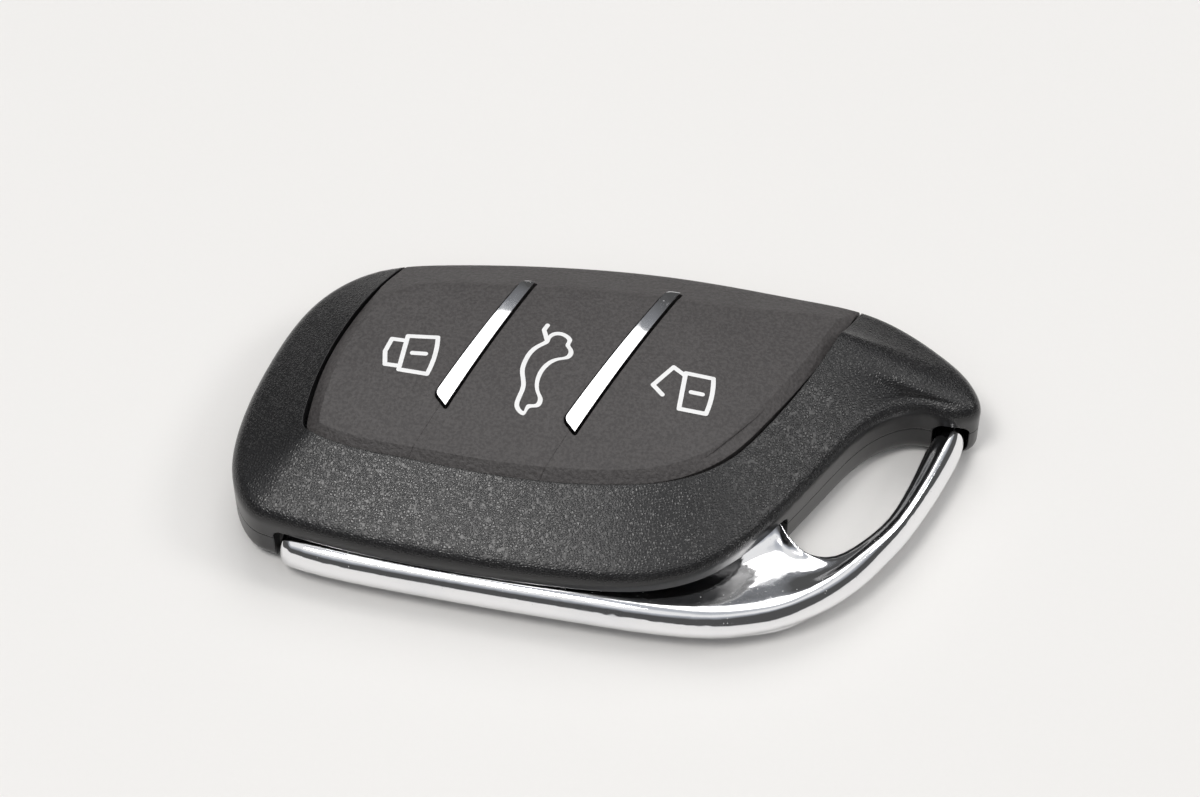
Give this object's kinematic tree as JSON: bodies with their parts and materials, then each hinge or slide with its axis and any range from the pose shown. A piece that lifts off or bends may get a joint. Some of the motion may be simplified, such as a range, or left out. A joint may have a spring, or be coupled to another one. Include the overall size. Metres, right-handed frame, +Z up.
{
  "type": "car key fob",
  "caption": "Keyless car key fob: black grained case, matt push buttons with white symbols, polished divider strips and a polished frame round a key-ring opening.",
  "frame": {"origin": "middle of the fob's box on the plane that it rests on", "axes": "+X towards the key-ring opening, +Y towards the side that the buttons wrap over, +Z up"},
  "size_m": [0.0772, 0.0422, 0.0135],
  "materials": {
    "case_plastic": "fine leather-like grain, satin",
    "button_skin": "soft-touch, very fine matt grain",
    "symbol_print": "smooth white",
    "polished_trim": "bright chrome plate",
    "inner_plastic": "plain moulded",
    "board_laminate": "green solder mask",
    "switch_metal": "thin pressed steel",
    "chip_resin": "moulded resin",
    "capacitor_ceramic": "fired ceramic",
    "cell_steel": "nickel-plated steel",
    "spring_steel": "bright spring steel",
    "seal_rubber": "soft black",
    "screw_steel": "zinc plated",
    "key_steel": "nickel-plated, milled"
  },
  "bodies": {
    "root": {"lower_shell": "case_plastic", "chrome_frame": "polished_trim", "circuit_board": "board_laminate", "lock_switch": "switch_metal", "boot_switch": "switch_metal", "unlock_switch": "switch_metal", "controller_chip": "chip_resin", "transmitter_chip": "chip_resin", "crystal": "switch_metal", "transponder_chip": "chip_resin", "low_frequency_coil": "chip_resin", "board_capacitors": "capacitor_ceramic", "coin_cell": "cell_steel", "battery_contact_negative": "spring_steel", "battery_contact_positive": "spring_steel", "case_seal": "seal_rubber", "board_screws": "screw_steel", "frame_screws": "screw_steel", "key_leaf_spring": "spring_steel"},
    "upper_case": {"upper_shell": "case_plastic", "button_carrier": "inner_plastic", "divider_strip_left": "polished_trim", "divider_strip_right": "polished_trim"},
    "lock_cap": {"lock_button": "button_skin", "lock_symbol": "symbol_print"},
    "boot_cap": {"boot_button": "button_skin", "boot_symbol": "symbol_print"},
    "unlock_cap": {"unlock_button": "button_skin", "unlock_symbol": "symbol_print"},
    "lock_plunger": {"lock_plunger": "inner_plastic"},
    "boot_plunger": {"boot_plunger": "inner_plastic"},
    "unlock_plunger": {"unlock_plunger": "inner_plastic"},
    "emergency_key": {"emergency_key_blade": "key_steel", "emergency_key_head": "case_plastic"}
  },
  "joints": [
    {"name": "case_open", "type": "slide", "parent": "root", "child": "upper_case", "axis": [0, 0, 1], "range_m": [0, 0.025]},
    {"name": "lock_press", "type": "slide", "parent": "upper_case", "child": "lock_cap", "axis": [0, 0, -1], "range_m": [0, 0.0003], "stiffness_N_per_m": 600},
    {"name": "lock_plunger_press", "type": "slide", "parent": "root", "child": "lock_plunger", "axis": [0, 0, -1], "range_m": [0, 0.0003]},
    {"name": "boot_press", "type": "slide", "parent": "upper_case", "child": "boot_cap", "axis": [0, 0, -1], "range_m": [0, 0.0003], "stiffness_N_per_m": 600},
    {"name": "boot_plunger_press", "type": "slide", "parent": "root", "child": "boot_plunger", "axis": [0, 0, -1], "range_m": [0, 0.0003]},
    {"name": "unlock_press", "type": "slide", "parent": "upper_case", "child": "unlock_cap", "axis": [0, 0, -1], "range_m": [0, 0.0003], "stiffness_N_per_m": 600},
    {"name": "unlock_plunger_press", "type": "slide", "parent": "root", "child": "unlock_plunger", "axis": [0, 0, -1], "range_m": [0, 0.0003]},
    {"name": "key_draw", "type": "slide", "parent": "root", "child": "emergency_key", "axis": [-1, 0, 0], "range_m": [0, 0.05]}
  ],
  "couplings": [
    {"joint": "lock_plunger_press", "follows": "lock_press", "ratio": 1},
    {"joint": "boot_plunger_press", "follows": "boot_press", "ratio": 1},
    {"joint": "unlock_plunger_press", "follows": "unlock_press", "ratio": 1}
  ]
}
